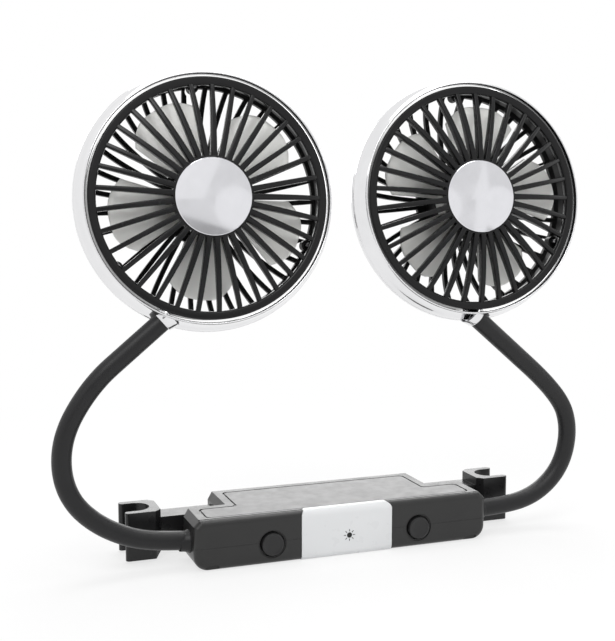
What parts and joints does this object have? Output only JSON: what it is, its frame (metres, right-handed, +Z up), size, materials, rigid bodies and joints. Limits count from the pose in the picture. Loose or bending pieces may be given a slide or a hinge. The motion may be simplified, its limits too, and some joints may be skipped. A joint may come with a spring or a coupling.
{
  "type": "dual-head car fan",
  "caption": "Two small round fans on bendable necks over a bar-shaped body with push buttons, a light panel and sprung hooks for headrest posts.",
  "frame": {"origin": "midway between the two headrest posts that the hooks hold, at half the height of the body", "axes": "+X to the right seen from the front, along the body; -Y is the front, where the air goes; +Z is up along the posts"},
  "size_m": [0.2764, 0.0601, 0.2325],
  "materials": {
    "housing_plastic": "satin",
    "arm_plastic": "satin",
    "button_plastic": "satin",
    "grille_plastic": "satin",
    "white_panel": "gloss",
    "circuit_board": "satin",
    "switch_plastic": "matte",
    "rubber": "matte",
    "neck_steel": "brushed",
    "spring_steel": "polished",
    "screw_steel": "polished",
    "inlet_steel": "polished",
    "motor_steel": "satin",
    "bright_chrome": "mirror",
    "cap_silver": "satin",
    "blade_plastic": "satin"
  },
  "bodies": {
    "body": {"lower_housing": "housing_plastic", "top_cover": "housing_plastic", "light_lens": "white_panel", "light_board": "circuit_board", "control_board": "circuit_board", "housing_screws": "screw_steel", "power_inlet": "inlet_steel", "left_switch": "switch_plastic", "left_ferrule": "rubber", "left_neck_nut": "screw_steel", "left_sleeve_foot": "rubber", "left_core_foot": "neck_steel", "left_arm_spring": "spring_steel", "right_switch": "switch_plastic", "right_ferrule": "rubber", "right_neck_nut": "screw_steel", "right_sleeve_foot": "rubber", "right_core_foot": "neck_steel", "right_arm_spring": "spring_steel"},
    "left_push_button": {"left_button": "button_plastic"},
    "left_hook": {"left_arm": "arm_plastic"},
    "left_neck_lower": {"left_sleeve_lower": "rubber", "left_core_lower": "neck_steel"},
    "left_neck_upper": {"left_sleeve_upper": "rubber", "left_core_upper": "neck_steel"},
    "left_head": {"left_sleeve_head": "rubber", "left_core_head": "neck_steel", "left_neck_socket": "bright_chrome", "left_rim_ring": "bright_chrome", "left_front_grille": "grille_plastic", "left_hub_cap": "cap_silver", "left_rear_guard": "grille_plastic", "left_guard_screws": "screw_steel", "left_motor": "motor_steel"},
    "left_rotor": {"left_impeller": "blade_plastic", "left_motor_shaft": "motor_steel"},
    "right_push_button": {"right_button": "button_plastic"},
    "right_hook": {"right_arm": "arm_plastic"},
    "right_neck_lower": {"right_sleeve_lower": "rubber", "right_core_lower": "neck_steel"},
    "right_neck_upper": {"right_sleeve_upper": "rubber", "right_core_upper": "neck_steel"},
    "right_head": {"right_sleeve_head": "rubber", "right_core_head": "neck_steel", "right_neck_socket": "bright_chrome", "right_rim_ring": "bright_chrome", "right_front_grille": "grille_plastic", "right_hub_cap": "cap_silver", "right_rear_guard": "grille_plastic", "right_guard_screws": "screw_steel", "right_motor": "motor_steel"},
    "right_rotor": {"right_impeller": "blade_plastic", "right_motor_shaft": "motor_steel"}
  },
  "joints": [
    {"name": "left_button_press", "type": "slide", "parent": "body", "child": "left_push_button", "axis": [0, 1, 0], "range_m": [0, 0.001], "stiffness_N_per_m": 800, "springref_m": -0.001},
    {"name": "left_arm_slide", "type": "slide", "parent": "body", "child": "left_hook", "axis": [1, 0, 0], "range_m": [0, 0.02], "stiffness_N_per_m": 150, "springref_m": -0.01, "deforming": ["left_arm_spring"]},
    {"name": "left_neck_swing", "type": "hinge", "parent": "body", "child": "left_neck_lower", "pos_m": [-0.105, -0.024, 0.0049], "axis": [0, 0, 1], "range_deg": [-20, 30], "deforming": ["left_sleeve_foot", "left_sleeve_lower", "left_core_foot", "left_core_lower"]},
    {"name": "left_neck_lean", "type": "hinge", "parent": "left_neck_lower", "child": "left_neck_upper", "pos_m": [-0.136, -0.0265, 0.0408], "axis": [1, 0, 0], "range_deg": [-25, 35], "deforming": ["left_sleeve_lower", "left_sleeve_upper", "left_core_lower", "left_core_upper"]},
    {"name": "left_head_turn", "type": "hinge", "parent": "left_neck_upper", "child": "left_head", "pos_m": [-0.10375, -0.03226, 0.09551], "axis": [-0.6486, 0.0762, 0.7573], "range_deg": [-30, 30], "deforming": ["left_sleeve_upper", "left_sleeve_head", "left_core_upper", "left_core_head"]},
    {"name": "left_rotor_spin", "type": "hinge", "parent": "left_head", "child": "left_rotor", "pos_m": [-0.0676, -0.036, 0.1628], "axis": [-0.052, -0.9922, 0.1132], "continuous": true},
    {"name": "right_button_press", "type": "slide", "parent": "body", "child": "right_push_button", "axis": [0, 1, 0], "range_m": [0, 0.001], "stiffness_N_per_m": 800, "springref_m": -0.001},
    {"name": "right_arm_slide", "type": "slide", "parent": "body", "child": "right_hook", "axis": [-1, 0, 0], "range_m": [0, 0.02], "stiffness_N_per_m": 150, "springref_m": -0.01, "deforming": ["right_arm_spring"]},
    {"name": "right_neck_swing", "type": "hinge", "parent": "body", "child": "right_neck_lower", "pos_m": [0.103, -0.024, 0.00215], "axis": [0, 0, 1], "range_deg": [-30, 20], "deforming": ["right_sleeve_foot", "right_sleeve_lower", "right_core_foot", "right_core_lower"]},
    {"name": "right_neck_lean", "type": "hinge", "parent": "right_neck_lower", "child": "right_neck_upper", "pos_m": [0.1305, -0.026, 0.03], "axis": [1, 0, 0], "range_deg": [-25, 35], "deforming": ["right_sleeve_lower", "right_sleeve_upper", "right_core_lower", "right_core_upper"]},
    {"name": "right_head_turn", "type": "hinge", "parent": "right_neck_upper", "child": "right_head", "pos_m": [0.08313, -0.03374, 0.09209], "axis": [0.62, 0.0738, 0.7811], "range_deg": [-30, 30], "deforming": ["right_sleeve_upper", "right_sleeve_head", "right_core_upper", "right_core_head"]},
    {"name": "right_rotor_spin", "type": "hinge", "parent": "right_head", "child": "right_rotor", "pos_m": [0.0676, -0.036, 0.1628], "axis": [-0.052, -0.9922, 0.1132], "continuous": true}
  ]
}
